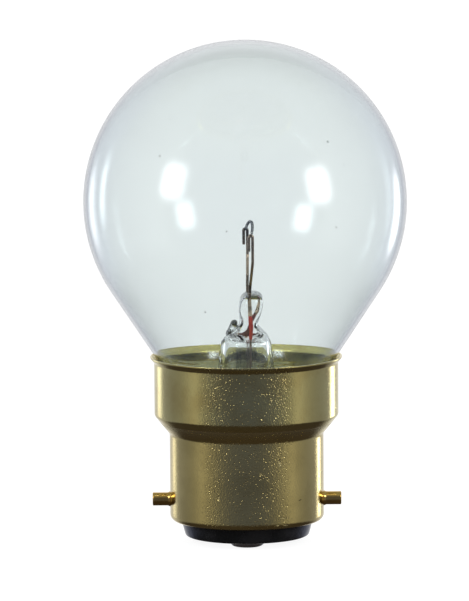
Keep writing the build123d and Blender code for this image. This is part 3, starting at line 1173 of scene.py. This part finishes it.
# tells rays that were reflected somewhere, and rays that look straight at the stage, through glass or not
def rayKinds(tree):
    path = tree.nodes.new("ShaderNodeLightPath")
    reflected = maths(tree, "GREATER_THAN", path.outputs["Glossy Depth"], 0.5)
    scattered = maths(tree, "GREATER_THAN", path.outputs["Diffuse Depth"], 0.5)
    looking = maths(tree, "MAXIMUM", path.outputs["Is Camera Ray"], path.outputs["Is Transmission Ray"])
    either = maths(tree, "MAXIMUM", reflected, scattered)
    return reflected, maths(tree, "MULTIPLY", looking, maths(tree, "SUBTRACT", 1.0, either))


# a square for the stage, lying flat at the origin
def flatSquare(name, size, material):
    form = bmesh.new()
    bmesh.ops.create_grid(form, x_segments=1, y_segments=1, size=size)
    mesh = bpy.data.meshes.new(name)
    form.to_mesh(mesh)
    form.free()
    mesh.materials.append(material)
    square = bpy.data.objects.new(name, mesh)
    bpy.context.scene.collection.objects.link(square)
    return square


# the floor shines for rays that look straight at it, catches shadows, and isn't there for reflected rays
def makeFloor():
    material, tree = newMaterial("paleFloor")
    glow = addNode(tree, "Emission", Color=(1, 1, 1, 1), Strength=stage["floorGlow"])
    matt = addNode(tree, "BsdfDiffuse", Color=(*[stage["floorColour"]] * 3, 1))
    reflected, seen = rayKinds(tree)
    seenFloor = joinShaders(tree, matt, joinShaders(tree, glow, matt), seen)
    clear = addNode(tree, "BsdfTransparent")
    plainOutput(tree, joinShaders(tree, seenFloor, clear, reflected))
    floor = flatSquare("floor", stage["floorSize"] / 2, material)
    floor.location.z = -stage["floorDrop"] * mm


# a soft glowing panel that only reflections and dull surfaces see
def makePanel(name, place, halfWide, halfHigh, glow, fill):
    material, tree = newMaterial(name)
    coords = tree.nodes.new("ShaderNodeTexCoord")
    apart = addNode(tree, "SeparateXYZ", Vector=coords.outputs["Object"])
    across = rangeOf(tree, maths(tree, "ABSOLUTE", apart.outputs[0]), *stage["panelAcross"], smooth=True)
    along = rangeOf(tree, maths(tree, "ABSOLUTE", apart.outputs[1]), *stage["panelAlong"], smooth=True)
    reflected, straight = rayKinds(tree)
    level = rangeOf(tree, reflected, 0, 1, fill, glow)
    level = maths(tree, "MULTIPLY", level, maths(tree, "SUBTRACT", 1.0, straight))
    shape = maths(tree, "POWER", maths(tree, "MULTIPLY", across, along), stage["panelSoftness"])
    strength = maths(tree, "MULTIPLY", level, shape)
    light = addNode(tree, "Emission", Color=(*stage["panelColour"], 1), Strength=strength)
    plainOutput(tree, joinShaders(tree, light, addNode(tree, "BsdfTransparent")))
    panel = flatSquare(name, 1, material)
    panel.location = Vector(place) * mm
    away = panel.location - Vector((0, 0, (crownZ - globe["diameter"] / 2) * mm))
    panel.rotation_euler = away.to_track_quat("Z", "Y").to_euler()
    panel.scale = (halfWide * mm, halfHigh * mm, 1)
    panel.visible_camera = False
    panel.visible_shadow = False


def makeWorld():
    world = bpy.data.worlds.new("studio")
    bpy.context.scene.world = world
    world.use_nodes = True
    tree = world.node_tree
    tree.nodes.clear()
    coords = tree.nodes.new("ShaderNodeTexCoord")
    way = addNode(tree, "SeparateXYZ", Vector=coords.outputs["Generated"])
    level = maths(tree, "SQRT", maths(tree, "SUBTRACT", 1.0001, maths(tree, "POWER", way.outputs[2], 2.0)))
    frontness = maths(tree, "DIVIDE", maths(tree, "MULTIPLY", way.outputs[1], -1.0), level)
    ramp = tree.nodes.new("ShaderNodeValToRGB")  # the studio's walls from straight behind, at 0, to the front
    ramp.color_ramp.interpolation = "LINEAR"
    ramp.color_ramp.elements.remove(ramp.color_ramp.elements[1])
    for number, (turn, value, blue) in enumerate(stage["walls"]):
        place = 0.5 + 0.5 * cos(radians(turn))
        stop = ramp.color_ramp.elements[0] if number == 0 else ramp.color_ramp.elements.new(place)
        stop.position = place
        green = 1 + stage["blueShare"] * (blue - 1)
        stop.color = (value, value * green, value * blue, 1)
    tree.links.new(maths(tree, "MULTIPLY_ADD", frontness, 0.5, 0.5), ramp.inputs[0])
    below = rangeOf(tree, way.outputs[2], *stage["lowSlopes"], smooth=True)
    above = rangeOf(tree, way.outputs[2], *stage["highSlopes"], smooth=True)
    room = blendColour(tree, below, ramp.outputs[0], (*stage["lowRoom"], 1))
    room = blendColour(tree, above, room, (*stage["highRoom"], 1))
    reflected, straight = rayKinds(tree)
    fill = stage["worldFill"]
    # rays that passed the thick glass of the stem see a brighter studio, more so where it bends them aside
    depth = tree.nodes.new("ShaderNodeLightPath").outputs["Transmission Depth"]
    deep = maths(tree, "GREATER_THAN", depth, stage["stemDepth"])
    room = blendColour(tree, maths(tree, "MULTIPLY", deep, stage["stemLight"]), room, (1, 1, 1, 1))
    colour = blendColour(tree, reflected, (fill, fill, fill, 1), room)
    aside = rangeOf(tree, maths(tree, "ABSOLUTE", way.outputs[0]), *stage["bentSlopes"], smooth=True)
    bent = maths(tree, "MULTIPLY", aside, deep)
    level = rangeOf(tree, bent, 0, 1, 1.0, stage["bentLight"])
    apart = addNode(tree, "CombineColor", Red=level, Green=level, Blue=level)
    colour = blendColour(tree, straight, colour, apart.outputs[0])
    back = addNode(tree, "Background", Color=colour, Strength=1.0)
    out = tree.nodes.new("ShaderNodeOutputWorld")
    tree.links.new(back.outputs[0], out.inputs[0])


makeFloor()
for name, panel in stage["panels"].items():
    makePanel(name, *panel)
makeWorld()

view = {
    "distance": 1.0,
    "elevation": 7.28,
    "roll": -0.388,
    "lens": 420.2,
    "sensor": 36,
    "nearest": 0.01,
    "aim": (-0.0016, 0, 0.03464),
}


def makeCamera():
    lens = bpy.data.cameras.new("camera")
    lens.lens = view["lens"]
    lens.sensor_width = view["sensor"]
    lens.clip_start = view["nearest"]
    camera = bpy.data.objects.new("camera", lens)
    lift = radians(view["elevation"])
    back = Vector((0, -cos(lift), sin(lift)))
    camera.location = Vector(view["aim"]) + back * view["distance"]
    turn = Matrix.Rotation(radians(90) - lift, 3, "X") @ Matrix.Rotation(radians(view["roll"]), 3, "Z")
    camera.rotation_euler = turn.to_euler()
    bpy.context.scene.collection.objects.link(camera)
    bpy.context.scene.camera = camera


makeCamera()
bpy.context.scene.view_settings.view_transform = "Standard"
print("stage, light and camera set")
